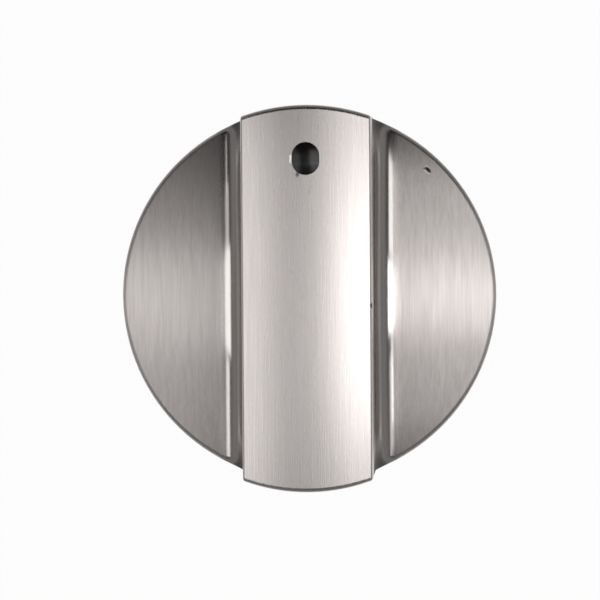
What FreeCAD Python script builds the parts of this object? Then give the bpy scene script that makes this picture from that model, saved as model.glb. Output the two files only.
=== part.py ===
import FreeCAD, Part
import math
import os

import Sketcher
from FreeCAD import Vector

# Oven control knob: a zinc die casting with a full-width grip bar across a domed disc, hollow at the back,
# with a moulded hub, its spring clip, two screws and a black indicator dot.
# Frame: +Z along the spindle towards the grip, rear rim at Z = 0, +Y towards the indicator dot.

# Driving dimensions, lengths in millimetres and angles in degrees
SIZES = {
    # Front form of the casting
    "rim_radius": 22.0,
    "side_draft": 1.0,
    "dome_height": 12.0,
    "dome_radius": 100.0,
    "knob_height": 25.0,
    "bar_width": 14.5,
    "crown_radius": 30.0,
    "flank_draft": 2.0,
    "foot_fillet": 2.5,
    "shoulder_width": 0.7,
    "shoulder_radius": 0.8,
    "shoulder_angle": 42.0,
    "bar_end_fillet": 0.5,
    "edge_fillet": 0.35,
    # Hollow back of the casting
    "casting_wall": 2.0,
    "hollow_fillet": 0.6,
    "boss_height": 9.0,
    "socket_wall": 2.4,
    "screw_boss_wall": 1.4,
    "pilot_depth": 9.5,
    # Hub
    "plug_radius": 5.0,
    "plug_length": 9.0,
    "plug_chamfer": 0.5,
    "socket_clearance": 0.05,
    "flange_radius": 7.0,
    "flange_thickness": 2.0,
    "ear_radius": 3.3,
    "screw_inset": 12.0,
    "collar_radius": 4.8,
    "collar_recess": 1.0,
    "spindle_radius": 3.0,
    "spindle_flat": 1.6,
    "spindle_clearance": 0.05,
    "mouth_clearance": 0.25,
    "mouth_length": 2.5,
    "spindle_depth": 15.0,
    "mouth_chamfer": 0.4,
    "slot_width": 1.0,
    "slot_length": 5.6,
    # Spring clip
    "clip_thickness": 0.5,
    "clip_width": 2.6,
    "clip_height": 3.6,
    "clip_seat_depth": 0.3,
    "clip_clearance": 0.02,
    "clip_side_clearance": 0.1,
    "clip_gap_angle": 70.0,
    "clip_lip_radius": 0.7,
    "clip_lip_angle": 75.0,
    # Screws
    "screw_radius": 1.2,
    "screw_length": 10.0,
    "screw_point_length": 1.2,
    "screw_clearance": 0.02,
    "screw_hole_clearance": 0.3,
    "screw_head_radius": 2.6,
    "screw_head_height": 1.8,
    "screw_head_round": 1.0,
    "recess_width": 0.7,
    "recess_span": 2.8,
    "recess_depth": 1.0,
    # Indicator dot
    "dot_width": 3.0,
    "dot_stretch": 0.6,
    "dot_inset": 6.4,
    "dot_rise": 0.3,
    "dot_clearance": 0.03,
    "dot_dish_depth": 0.08,
    "dot_dish_slope": 72.0,
    "dot_shoulder": 0.5,
    "dot_shoulder_thickness": 0.9,
    "dot_seat_gap": 0.12,
    # How far a cutting form runs past the face that it opens
    "overrun": 2.0,
}

doc = FreeCAD.newDocument("oven_control_knob")


def make_sheet():
    """Put every driving dimension in a cell whose alias is its name."""
    new_sheet = doc.addObject("Spreadsheet::Sheet", "Sizes")
    for row, (alias, value) in enumerate(SIZES.items(), start=1):
        new_sheet.set(f"A{row}", alias)
        new_sheet.set(f"B{row}", str(value))
        new_sheet.setAlias(f"B{row}", alias)
    doc.recompute()
    return new_sheet


sheet = make_sheet()

# Sizes that follow from the driving ones
SOCKET_RADIUS = "(Sizes.plug_radius + Sizes.socket_clearance)"
SPINDLE_BORE = "(Sizes.spindle_radius + Sizes.spindle_clearance)"
MOUTH_RADIUS = "(Sizes.spindle_radius + Sizes.mouth_clearance)"
PILOT_RADIUS = "(Sizes.screw_radius + Sizes.screw_clearance)"
FLANGE_REAR = "(Sizes.boss_height - Sizes.flange_thickness)"
SCREW_OFFSET = "(Sizes.rim_radius - Sizes.screw_inset)"
CLIP_INNER = "(Sizes.collar_radius - Sizes.clip_seat_depth + Sizes.clip_clearance)"
CLIP_OUTER = f"({CLIP_INNER} + Sizes.clip_thickness)"
DOT_OFFSET = "(Sizes.rim_radius - Sizes.dot_inset)"
DOT_SEAT = "(Sizes.knob_height - Sizes.casting_wall - Sizes.dot_seat_gap)"
CROWN_CENTRE = "(Sizes.knob_height - Sizes.crown_radius)"
CROWN_EDGE = f"({CROWN_CENTRE} + sqrt(Sizes.crown_radius ^ 2 - Sizes.bar_width ^ 2 / 4))"

# How a sketch names its own origin and axes, and the ends of an edge
H_AXIS, V_AXIS = range(-1, -3, -1)
ORIGIN = H_AXIS
START, END, CENTRE = range(1, 4)

FULL_TURN = 360


def value_of(expression):
    """Return an expression of the sheet's cells as a number."""
    value = sheet.evalExpression(expression)
    return float(getattr(value, "Value", value))


def new_body(name):
    """Start a body with its Label."""
    body = doc.addObject("PartDesign::Body", name)
    body.Label = name
    return body


def origin_feature(body, role):
    """Return one of a body's own origin planes."""
    return next(feature for feature in body.Origin.OriginFeatures if feature.Role == role)


def new_sketch(body, name, role, lift="0"):
    """Attach a sketch to one of the body's origin planes, moved along its normal."""
    sketch = body.newObject("Sketcher::SketchObject", name)
    sketch.AttachmentSupport = [(origin_feature(body, role), "")]
    sketch.MapMode = "FlatFace"
    sketch.setExpression("AttachmentOffset.Base.z", lift)
    return sketch


def line(sketch, start, end):
    """Add a straight edge between two points."""
    return sketch.addGeometry(Part.LineSegment(Vector(*start, 0), Vector(*end, 0)), False)


def circle(sketch, centre, radius):
    """Add a full circle."""
    return sketch.addGeometry(Part.Circle(Vector(*centre, 0), Vector(0, 0, 1), radius), False)


def arc(sketch, centre, radius, first, last):
    """Add an arc that runs anticlockwise from one angle to another, in degrees."""
    whole = Part.Circle(Vector(*centre, 0), Vector(0, 0, 1), radius)
    return sketch.addGeometry(Part.ArcOfCircle(whole, math.radians(first), math.radians(last)), False)


def fix(sketch, kind, *references):
    """Add a geometric constraint."""
    sketch.addConstraint(Sketcher.Constraint(kind, *references))


def drive(sketch, expression, kind, *references):
    """Add a dimension and bind it to an expression of the sheet's cells."""
    value = value_of(expression)
    if kind == "Angle":
        value = math.radians(value)
    index = sketch.addConstraint(Sketcher.Constraint(kind, *references, value))
    sketch.setExpression(f"Constraints[{index}]", expression)


def join(sketch, *chain):
    """Make each edge's end meet the next edge's start, all round a closed outline."""
    for edge, following in zip(chain, chain[1:] + chain[:1]):
        fix(sketch, "Coincident", edge, END, following, START)


def blend(sketch, *chain):
    """Join a closed outline with a common tangent where each edge meets the next."""
    for edge, following in zip(chain, chain[1:] + chain[:1]):
        fix(sketch, "Tangent", edge, END, following, START)


def hold_crest(sketch, edge, expression):
    """Hold the top of an arc at a height on the vertical axis."""
    point = sketch.addGeometry(Part.Point(Vector(0, value_of(expression), 0)), True)
    fix(sketch, "PointOnObject", point, START, V_AXIS)
    fix(sketch, "PointOnObject", point, START, edge)
    drive(sketch, expression, "DistanceY", ORIGIN, START, point, START)


def driven_circle(sketch, radius, offset=None):
    """Add a circle on the vertical axis, at the origin or at a signed offset from it."""
    centre = value_of(offset) if offset else 0
    ring = circle(sketch, (0, centre), value_of(radius))
    drive(sketch, radius, "Radius", ring)
    if offset is None:
        fix(sketch, "Coincident", ring, CENTRE, ORIGIN, START)
        return
    fix(sketch, "PointOnObject", ring, CENTRE, V_AXIS)
    drive(sketch, offset, "DistanceY", ORIGIN, START, ring, CENTRE)


def rectangle(sketch, width, height):
    """Add a rectangle centred on the origin."""
    x, y = value_of(width) / 2, value_of(height) / 2
    corners = [(-x, -y), (x, -y), (x, y), (-x, y)]
    sides = [line(sketch, a, b) for a, b in zip(corners, corners[1:] + corners[:1])]
    join(sketch, *sides)
    for side, direction in zip(sides, ("Horizontal", "Vertical", "Horizontal", "Vertical")):
        fix(sketch, direction, side)
    fix(sketch, "Symmetric", sides[0], START, sides[2], START, ORIGIN, START)
    drive(sketch, width, "DistanceX", sides[0], START, sides[0], END)
    drive(sketch, height, "DistanceY", sides[1], START, sides[1], END)


def stadium(sketch, radius, half_stretch):
    """Add an oval of two half circles, drawn out along the vertical axis."""
    reach, spread = value_of(radius), value_of(half_stretch)
    top = arc(sketch, (0, spread), reach, 0, 180)
    left = line(sketch, (-reach, spread), (-reach, -spread))
    bottom = arc(sketch, (0, -spread), reach, 180, 360)
    right = line(sketch, (reach, -spread), (reach, spread))
    blend(sketch, top, left, bottom, right)
    for end in (top, bottom):
        fix(sketch, "PointOnObject", end, CENTRE, V_AXIS)
    fix(sketch, "Equal", top, bottom)
    drive(sketch, radius, "Radius", top)
    drive(sketch, half_stretch, "DistanceY", ORIGIN, START, top, CENTRE)
    drive(sketch, half_stretch, "DistanceY", bottom, CENTRE, ORIGIN, START)


def pad(body, sketch, length, symmetric=False):
    """Raise a sketch along its normal, or to both sides of its plane."""
    feature = body.newObject("PartDesign::Pad", f"{sketch.Name}_pad")
    feature.Profile = sketch
    feature.SideType = "Symmetric" if symmetric else "One side"
    feature.setExpression("Length", length)
    doc.recompute()
    return feature


def revolve(body, sketch, cut=False):
    """Turn a sketch about its vertical axis, to add or to cut."""
    before = body.Shape.Volume if cut else 0
    feature = body.newObject("PartDesign::Groove" if cut else "PartDesign::Revolution", f"{sketch.Name}_turn")
    feature.Profile = sketch
    feature.ReferenceAxis = (sketch, ["V_Axis"])
    feature.Angle = FULL_TURN
    doc.recompute()
    if cut and body.Shape.Volume >= before:
        raise RuntimeError(f"{feature.Name} cuts nothing")
    return feature


def pocket(body, sketch, depth=None):
    """Cut a sketch upwards along its normal, to a depth or through all."""
    before = body.Shape.Volume
    feature = body.newObject("PartDesign::Pocket", f"{sketch.Name}_pocket")
    feature.Profile = sketch
    feature.Reversed = True
    if depth is None:
        feature.Type = "ThroughAll"
    else:
        feature.setExpression("Length", depth)
    doc.recompute()
    if body.Shape.Volume >= before:
        raise RuntimeError(f"{feature.Name} cuts nothing")
    return feature


def edges_where(shape, test):
    """Name the edges whose two faces pass a test."""
    names = []
    for number, edge in enumerate(shape.Edges, start=1):
        faces = shape.ancestorsOfType(edge, Part.Face)
        if len(faces) == 2 and test(edge, faces):
            names.append(f"Edge{number}")
    return names


def round_edges(body, name, radius, test):
    """Fillet the edges of the body's last feature that pass a test."""
    base = body.Tip
    names = edges_where(base.Shape, test)
    feature = body.newObject("PartDesign::Fillet", name)
    feature.Base = (base, names)
    feature.setExpression("Radius", radius)
    doc.recompute()
    return feature


def bevel_edges(body, name, width, test):
    """Chamfer the edges of the body's last feature that pass a test."""
    base = body.Tip
    names = edges_where(base.Shape, test)
    feature = body.newObject("PartDesign::Chamfer", name)
    feature.Base = (base, names)
    feature.setExpression("Size", width)
    doc.recompute()
    return feature


def has_surface(faces, kind):
    """Tell whether one of the faces lies on a kind of surface."""
    return any(isinstance(face.Surface, kind) for face in faces)


def is_upright(face):
    """Tell whether a flat face stands nearly upright, facing along X."""
    return isinstance(face.Surface, Part.Plane) and abs(face.Surface.Axis.x) > abs(face.Surface.Axis.z)


def is_foot(edge, faces):
    """Find where a flank of the bar meets the dome."""
    return has_surface(faces, Part.Sphere) and any(is_upright(face) for face in faces)


def is_bar_end(edge, faces):
    """Find where the crown meets the tapered side, across each end of the bar."""
    return has_surface(faces, Part.Cylinder) and has_surface(faces, Part.Cone)


def is_bar_edge(edge, faces):
    """Find where a flank meets the crown."""
    return has_surface(faces, Part.Cylinder) and any(is_upright(face) for face in faces)


def dome_profile(body):
    """Half section of the domed disc, whose soft shoulder runs out past the rim."""
    reach = "(Sizes.rim_radius + Sizes.overrun)"
    shoulder_start = "(Sizes.rim_radius - Sizes.shoulder_width)"
    slope = "(180 - Sizes.shoulder_angle)"
    x, top, bend = (value_of(e) for e in (reach, "Sizes.dome_height", "Sizes.dome_radius"))
    tilt = math.asin(value_of(shoulder_start) / bend)
    steep = math.radians(value_of("Sizes.shoulder_angle"))
    turn = value_of("Sizes.shoulder_radius")
    middle = ((bend - turn) * math.sin(tilt), top - bend + (bend - turn) * math.cos(tilt))
    foot = (middle[0] + turn * math.sin(steep), middle[1] + turn * math.cos(steep))
    edge_height = foot[1] - (x - foot[0]) * math.tan(steep)
    sketch = new_sketch(body, f"{body.Name}_dome", "XZ_Plane")
    base = line(sketch, (0, 0), (x, 0))
    side = line(sketch, (x, 0), (x, edge_height))
    bevel = line(sketch, (x, edge_height), foot)
    shoulder = arc(sketch, middle, turn, 90 - math.degrees(steep), 90 - math.degrees(tilt))
    dome = arc(sketch, (0, top - bend), bend, 90 - math.degrees(tilt), 90)
    axis = line(sketch, (0, top), (0, 0))
    for edge, following in ((base, side), (side, bevel), (dome, axis), (axis, base)):
        fix(sketch, "Coincident", edge, END, following, START)
    for edge, following in ((bevel, shoulder), (shoulder, dome)):
        fix(sketch, "Tangent", edge, END, following, START)
    fix(sketch, "Coincident", base, START, ORIGIN, START)
    fix(sketch, "Horizontal", base)
    fix(sketch, "Vertical", side)
    fix(sketch, "Vertical", axis)
    fix(sketch, "PointOnObject", dome, CENTRE, V_AXIS)
    drive(sketch, reach, "DistanceX", base, START, base, END)
    drive(sketch, slope, "Angle", bevel)
    drive(sketch, "Sizes.shoulder_radius", "Radius", shoulder)
    drive(sketch, shoulder_start, "DistanceX", ORIGIN, START, shoulder, END)
    drive(sketch, "Sizes.dome_radius", "Radius", dome)
    drive(sketch, "Sizes.dome_height", "DistanceY", axis, END, axis, START)
    return sketch


def ceiling_profile(body):
    """Half section of the hollow under the dome, one wall below it."""
    reach = "(Sizes.rim_radius + Sizes.overrun)"
    apex = "(Sizes.dome_height - Sizes.casting_wall)"
    radius = "(Sizes.dome_radius - Sizes.casting_wall)"
    x, top, bend = value_of(reach), value_of(apex), value_of(radius)
    rise = math.degrees(math.acos(x / bend))
    edge_height = top - bend + math.sqrt(bend ** 2 - x ** 2)
    sketch = new_sketch(body, f"{body.Name}_ceiling", "XZ_Plane")
    base = line(sketch, (0, 0), (x, 0))
    side = line(sketch, (x, 0), (x, edge_height))
    ceiling = arc(sketch, (0, top - bend), bend, rise, 90)
    axis = line(sketch, (0, top), (0, 0))
    join(sketch, base, side, ceiling, axis)
    fix(sketch, "Coincident", base, START, ORIGIN, START)
    fix(sketch, "Horizontal", base)
    fix(sketch, "Vertical", side)
    fix(sketch, "Vertical", axis)
    fix(sketch, "PointOnObject", ceiling, CENTRE, V_AXIS)
    drive(sketch, reach, "DistanceX", base, START, base, END)
    drive(sketch, apex, "DistanceY", axis, END, axis, START)
    drive(sketch, radius, "Radius", ceiling)
    return sketch


def bar_profile(body, wall):
    """Cross-section of the grip bar: crowned top and drafted flanks down to the rear plane."""
    crest = f"(Sizes.knob_height - {wall})"
    radius = f"(Sizes.crown_radius - {wall})"
    foot = (f"(Sizes.bar_width + 2 * {CROWN_EDGE} * tan(Sizes.flank_draft)"
            f" - 2 * {wall} / cos(Sizes.flank_draft))")
    lean = "(90 + Sizes.flank_draft)"
    half_foot, bend, centre = value_of(foot) / 2, value_of(radius), value_of(CROWN_CENTRE)
    slope = math.tan(math.radians(value_of("Sizes.flank_draft")))
    edge_height = value_of(CROWN_EDGE)
    half_top = half_foot - edge_height * slope
    rise = math.degrees(math.acos(half_top / bend))
    sketch = new_sketch(body, f"{body.Name}_bar", "XZ_Plane")
    base = line(sketch, (-half_foot, 0), (half_foot, 0))
    right = line(sketch, (half_foot, 0), (half_top, edge_height))
    crown = arc(sketch, (0, centre), bend, rise, 180 - rise)
    left = line(sketch, (-half_top, edge_height), (-half_foot, 0))
    join(sketch, base, right, crown, left)
    fix(sketch, "PointOnObject", base, START, H_AXIS)
    fix(sketch, "Symmetric", base, START, base, END, V_AXIS)
    fix(sketch, "Symmetric", crown, START, crown, END, V_AXIS)
    drive(sketch, foot, "DistanceX", base, START, base, END)
    drive(sketch, lean, "Angle", right)
    drive(sketch, radius, "Radius", crown)
    hold_crest(sketch, crown, crest)
    return sketch


def trim_profile(body, wall):
    """Half section of what is turned away outside the tapered side of the knob."""
    rim = f"(Sizes.rim_radius - {wall} / cos(Sizes.side_draft))"
    lean = "(90 + Sizes.side_draft)"
    top = "(Sizes.knob_height + Sizes.overrun)"
    reach = "(Sizes.rim_radius + 4 * Sizes.overrun)"
    x, y, outside = value_of(rim), value_of(top), value_of(reach)
    upper = x - y * math.tan(math.radians(value_of("Sizes.side_draft")))
    sketch = new_sketch(body, f"{body.Name}_trim", "XZ_Plane")
    side = line(sketch, (x, 0), (upper, y))
    over = line(sketch, (upper, y), (outside, y))
    outer = line(sketch, (outside, y), (outside, 0))
    base = line(sketch, (outside, 0), (x, 0))
    join(sketch, side, over, outer, base)
    fix(sketch, "PointOnObject", side, START, H_AXIS)
    fix(sketch, "Horizontal", over)
    fix(sketch, "Vertical", outer)
    fix(sketch, "Horizontal", base)
    drive(sketch, rim, "DistanceX", ORIGIN, START, side, START)
    drive(sketch, lean, "Angle", side)
    drive(sketch, top, "DistanceY", ORIGIN, START, side, END)
    drive(sketch, reach, "DistanceX", ORIGIN, START, base, START)
    return sketch


def add_bar(body, wall, foot_round, end_round, edge_round):
    """Set the bar across a disc, turn the side down to its taper and round the edges."""
    pad(body, bar_profile(body, wall), "2 * (Sizes.rim_radius + 2 * Sizes.overrun)", symmetric=True)
    round_edges(body, f"{body.Name}_foot_round", foot_round, is_foot)
    revolve(body, trim_profile(body, wall), cut=True)
    round_edges(body, f"{body.Name}_end_round", end_round, is_bar_end)
    round_edges(body, f"{body.Name}_edge_round", edge_round, is_bar_edge)


def cut_bosses(core):
    """Leave room in the core for the hub's socket and the two screw bosses with their pilot holes."""
    ring = new_sketch(core, "socket_boss", "XY_Plane", "Sizes.boss_height")
    driven_circle(ring, f"{SOCKET_RADIUS} + Sizes.socket_wall")
    driven_circle(ring, SOCKET_RADIUS)
    pocket(core, ring)
    for side, sign in (("upper", ""), ("lower", "-")):
        offset = f"{sign}{SCREW_OFFSET}"
        boss = new_sketch(core, f"{side}_screw_boss", "XY_Plane", "Sizes.boss_height")
        driven_circle(boss, f"{PILOT_RADIUS} + Sizes.screw_boss_wall", offset)
        pocket(core, boss)
        pilot = new_sketch(core, f"{side}_pilot", "XY_Plane", "Sizes.boss_height")
        driven_circle(pilot, PILOT_RADIUS, offset)
        pad(core, pilot, "Sizes.pilot_depth")


def raise_dot_hole(core):
    """Carry the core through the bar's roof where the indicator dot goes, with a shallow dish round the hole."""
    hole = new_sketch(core, "dot_hole", "XY_Plane", "Sizes.knob_height - 2 * Sizes.casting_wall")
    hole.setExpression("AttachmentOffset.Base.y", DOT_OFFSET)
    stadium(hole, "Sizes.dot_width / 2 + Sizes.dot_clearance", "Sizes.dot_stretch / 2")
    pad(core, hole, "2 * Sizes.casting_wall + Sizes.overrun")
    dish = new_sketch(core, "dot_dish", "XY_Plane", "Sizes.knob_height - Sizes.dot_dish_depth")
    dish.setExpression("AttachmentOffset.Base.y", DOT_OFFSET)
    stadium(dish, "Sizes.dot_width / 2 + Sizes.dot_clearance", "Sizes.dot_stretch / 2")
    flare = pad(core, dish, "3 * Sizes.dot_dish_depth")
    flare.setExpression("TaperAngle", "Sizes.dot_dish_slope")
    doc.recompute()


def make_knob_body():
    """The casting: the front form less the core of its hollow back."""
    front = new_body("front_form")
    revolve(front, dome_profile(front))
    add_bar(front, "0", "Sizes.foot_fillet", "Sizes.bar_end_fillet", "Sizes.edge_fillet")
    core = new_body("hollow_core")
    revolve(core, ceiling_profile(core))
    add_bar(core, "Sizes.casting_wall", "Sizes.foot_fillet + Sizes.casting_wall",
            "Sizes.hollow_fillet", "Sizes.hollow_fillet")
    cut_bosses(core)
    raise_dot_hole(core)
    casting = doc.addObject("Part::Cut", "knob_body")
    casting.Label = "knob_body"
    casting.Base = front
    casting.Tool = core
    doc.recompute()
    return casting


def flange_outline(body):
    """Outline of the hub's flange: a round middle drawn out to an ear at each screw."""
    middle, ear, offset = (value_of(e) for e in ("Sizes.flange_radius", "Sizes.ear_radius", SCREW_OFFSET))
    turn = math.degrees(math.asin((middle - ear) / offset))

    def on_circle(centre, radius, angle):
        return (radius * math.cos(math.radians(angle)), centre + radius * math.sin(math.radians(angle)))

    sketch = new_sketch(body, "flange", "XY_Plane", FLANGE_REAR)
    right = arc(sketch, (0, 0), middle, -turn, turn)
    right_up = line(sketch, on_circle(0, middle, turn), on_circle(offset, ear, turn))
    top = arc(sketch, (0, offset), ear, turn, 180 - turn)
    left_up = line(sketch, on_circle(offset, ear, 180 - turn), on_circle(0, middle, 180 - turn))
    left = arc(sketch, (0, 0), middle, 180 - turn, 180 + turn)
    left_down = line(sketch, on_circle(0, middle, 180 + turn), on_circle(-offset, ear, 180 + turn))
    bottom = arc(sketch, (0, -offset), ear, 180 + turn, 360 - turn)
    right_down = line(sketch, on_circle(-offset, ear, -turn), on_circle(0, middle, -turn))
    blend(sketch, right, right_up, top, left_up, left, left_down, bottom, right_down)
    for side in (right, left):
        fix(sketch, "Coincident", side, CENTRE, ORIGIN, START)
        drive(sketch, "Sizes.flange_radius", "Radius", side)
    for end in (top, bottom):
        fix(sketch, "PointOnObject", end, CENTRE, V_AXIS)
        drive(sketch, "Sizes.ear_radius", "Radius", end)
    drive(sketch, SCREW_OFFSET, "DistanceY", ORIGIN, START, top, CENTRE)
    drive(sketch, SCREW_OFFSET, "DistanceY", bottom, CENTRE, ORIGIN, START)
    return sketch


def clip_seat_profile(body):
    """Half section of the shallow groove round the collar where the clip sits."""
    inner = "(Sizes.collar_radius - Sizes.clip_seat_depth)"
    outer = "(Sizes.collar_radius + Sizes.overrun)"
    low = "(Sizes.clip_height - Sizes.clip_side_clearance)"
    high = "(Sizes.clip_height + Sizes.clip_width + Sizes.clip_side_clearance)"
    x0, x1, y0, y1 = (value_of(e) for e in (inner, outer, low, high))
    sketch = new_sketch(body, "clip_seat", "XZ_Plane")
    base = line(sketch, (x0, y0), (x1, y0))
    outside = line(sketch, (x1, y0), (x1, y1))
    top = line(sketch, (x1, y1), (x0, y1))
    inside = line(sketch, (x0, y1), (x0, y0))
    join(sketch, base, outside, top, inside)
    for side in (base, top):
        fix(sketch, "Horizontal", side)
    for side in (outside, inside):
        fix(sketch, "Vertical", side)
    drive(sketch, inner, "DistanceX", ORIGIN, START, base, START)
    drive(sketch, outer, "DistanceX", ORIGIN, START, base, END)
    drive(sketch, low, "DistanceY", ORIGIN, START, base, START)
    drive(sketch, high, "DistanceY", ORIGIN, START, top, START)
    return sketch


def spindle_outline(body):
    """D-shaped section of the spindle's socket, with its flat towards the indicator dot."""
    flat = "(Sizes.spindle_flat + Sizes.spindle_clearance)"
    radius, height = value_of(SPINDLE_BORE), value_of(flat)
    turn = math.degrees(math.asin(height / radius))
    half_chord = math.sqrt(radius ** 2 - height ** 2)
    sketch = new_sketch(body, "spindle_socket", "XY_Plane", "Sizes.collar_recess")
    round_side = arc(sketch, (0, 0), radius, 180 - turn, 360 + turn)
    chord = line(sketch, (half_chord, height), (-half_chord, height))
    join(sketch, round_side, chord)
    fix(sketch, "Coincident", round_side, CENTRE, ORIGIN, START)
    fix(sketch, "Horizontal", chord)
    drive(sketch, SPINDLE_BORE, "Radius", round_side)
    drive(sketch, flat, "DistanceY", ORIGIN, START, chord, START)
    return sketch


def make_shaft_hub():
    """The moulded hub: plug, eared flange and slotted collar round a D-shaped spindle socket."""
    body = new_body("shaft_hub")
    pad(body, flange_outline(body), "Sizes.flange_thickness")
    plug = new_sketch(body, "plug", "XY_Plane", "Sizes.boss_height")
    driven_circle(plug, "Sizes.plug_radius")
    pad(body, plug, "Sizes.plug_length")
    collar = new_sketch(body, "collar", "XY_Plane", "Sizes.collar_recess")
    driven_circle(collar, "Sizes.collar_radius")
    pad(body, collar, f"{FLANGE_REAR} - Sizes.collar_recess")
    plug_end = value_of("Sizes.boss_height + Sizes.plug_length")
    bevel_edges(body, "plug_bevel", "Sizes.plug_chamfer",
                lambda edge, faces: abs(edge.CenterOfMass.z - plug_end) < Part.Precision.confusion())
    revolve(body, clip_seat_profile(body), cut=True)
    pocket(body, spindle_outline(body), "Sizes.spindle_depth")
    mouth = new_sketch(body, "round_mouth", "XY_Plane", "Sizes.collar_recess")
    driven_circle(mouth, MOUTH_RADIUS)
    pocket(body, mouth, "Sizes.mouth_length")
    screw_holes = new_sketch(body, "screw_holes", "XY_Plane", FLANGE_REAR)
    for sign in ("", "-"):
        driven_circle(screw_holes, "Sizes.screw_radius + Sizes.screw_hole_clearance", f"{sign}{SCREW_OFFSET}")
    pocket(body, screw_holes, "Sizes.flange_thickness")
    mouth_height, mouth_radius = value_of("Sizes.collar_recess"), value_of(MOUTH_RADIUS)
    bevel_edges(body, "mouth_bevel", "Sizes.mouth_chamfer",
                lambda edge, faces: (abs(edge.CenterOfMass.z - mouth_height) < Part.Precision.confusion()
                                     and abs(edge.Curve.Radius - mouth_radius) < Part.Precision.confusion()))
    slot = new_sketch(body, "collar_slot", "XY_Plane", "Sizes.collar_recess")
    rectangle(slot, "2 * (Sizes.collar_radius + Sizes.overrun)", "Sizes.slot_width")
    pocket(body, slot, "Sizes.slot_length")
    return body


def clip_outline(body):
    """Right half of the clip's outline, with its gap below and a lip turned outwards beside it."""
    inner, outer, lip = (value_of(e) for e in (CLIP_INNER, CLIP_OUTER, "Sizes.clip_lip_radius"))
    thickness = outer - inner
    gap_end = value_of("Sizes.clip_gap_angle / 2") - 90
    lip_start = gap_end + 180
    lip_end = lip_start + value_of("Sizes.clip_lip_angle")

    def polar(radius, angle):
        return Vector(radius * math.cos(math.radians(angle)), radius * math.sin(math.radians(angle)), 0)

    middle = polar(outer + lip, gap_end)
    centre = (middle.x, middle.y)
    tip_outer, tip_inner = middle + polar(lip + thickness, lip_end), middle + polar(lip, lip_end)
    sketch = new_sketch(body, "clip_half", "XY_Plane", "Sizes.clip_height")
    outside = arc(sketch, (0, 0), outer, gap_end, 90)
    top = line(sketch, (0, outer), (0, inner))
    inside = arc(sketch, (0, 0), inner, gap_end, 90)
    lip_back = arc(sketch, centre, lip + thickness, lip_start, lip_end)
    tip = line(sketch, (tip_outer.x, tip_outer.y), (tip_inner.x, tip_inner.y))
    lip_front = arc(sketch, centre, lip, lip_start, lip_end)
    fix(sketch, "Coincident", outside, END, top, START)
    fix(sketch, "Coincident", top, END, inside, END)
    fix(sketch, "Tangent", inside, START, lip_back, START)
    fix(sketch, "Coincident", lip_back, END, tip, START)
    fix(sketch, "Coincident", tip, END, lip_front, END)
    fix(sketch, "Tangent", lip_front, START, outside, START)
    for edge in (outside, inside):
        fix(sketch, "Coincident", edge, CENTRE, ORIGIN, START)
    fix(sketch, "Coincident", lip_back, CENTRE, lip_front, CENTRE)
    fix(sketch, "PointOnObject", top, START, V_AXIS)
    fix(sketch, "Vertical", top)
    fix(sketch, "PointOnObject", lip_front, CENTRE, tip)
    drive(sketch, CLIP_OUTER, "Radius", outside)
    drive(sketch, CLIP_INNER, "Radius", inside)
    drive(sketch, "Sizes.clip_lip_radius", "Radius", lip_front)
    drive(sketch, f"({CLIP_OUTER} + Sizes.clip_lip_radius) * sin(Sizes.clip_gap_angle / 2)",
          "DistanceX", ORIGIN, START, lip_front, CENTRE)
    drive(sketch, "Sizes.clip_gap_angle / 2 + Sizes.clip_lip_angle - 90", "Angle", tip)
    return sketch


def make_hub_spring_clip():
    """The spring-steel band that closes the slotted collar on the spindle."""
    body = new_body("hub_spring_clip")
    half = pad(body, clip_outline(body), "Sizes.clip_width")
    whole = body.newObject("PartDesign::Mirrored", "clip_whole")
    whole.Originals = [half]
    whole.MirrorPlane = (origin_feature(body, "YZ_Plane"), [""])
    body.Tip = whole
    doc.recompute()
    return body


def screw_profile(body):
    """Half section of a pan-head screw with its head below the flange and its point upwards."""
    seat = FLANGE_REAR
    rear = f"({FLANGE_REAR} - Sizes.screw_head_height)"
    tip = f"({FLANGE_REAR} + Sizes.screw_length)"
    flat = "(Sizes.screw_head_radius - Sizes.screw_head_round)"
    z_rear, z_seat, z_tip = value_of(rear), value_of(seat), value_of(tip)
    head, bend, shank = (value_of(f"Sizes.screw_{e}") for e in ("head_radius", "head_round", "radius"))
    z_taper = z_tip - value_of("Sizes.screw_point_length")
    sketch = new_sketch(body, "screw_half", "XZ_Plane")
    face = line(sketch, (0, z_rear), (head - bend, z_rear))
    pan = arc(sketch, (head - bend, z_rear + bend), bend, -90, 0)
    side = line(sketch, (head, z_rear + bend), (head, z_seat))
    under = line(sketch, (head, z_seat), (shank, z_seat))
    stem = line(sketch, (shank, z_seat), (shank, z_taper))
    point = line(sketch, (shank, z_taper), (0, z_tip))
    axis = line(sketch, (0, z_tip), (0, z_rear))
    fix(sketch, "Tangent", face, END, pan, START)
    fix(sketch, "Tangent", pan, END, side, START)
    for edge, following in ((side, under), (under, stem), (stem, point), (point, axis), (axis, face)):
        fix(sketch, "Coincident", edge, END, following, START)
    for edge in (face, under):
        fix(sketch, "Horizontal", edge)
    for edge in (side, stem):
        fix(sketch, "Vertical", edge)
    for end in (START, END):
        fix(sketch, "PointOnObject", axis, end, V_AXIS)
    drive(sketch, rear, "DistanceY", ORIGIN, START, face, START)
    drive(sketch, flat, "DistanceX", face, START, face, END)
    drive(sketch, "Sizes.screw_head_round", "Radius", pan)
    drive(sketch, seat, "DistanceY", ORIGIN, START, under, START)
    drive(sketch, "Sizes.screw_radius", "DistanceX", ORIGIN, START, stem, START)
    drive(sketch, tip, "DistanceY", ORIGIN, START, axis, START)
    drive(sketch, "Sizes.screw_point_length", "DistanceY", point, START, point, END)
    return sketch


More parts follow.
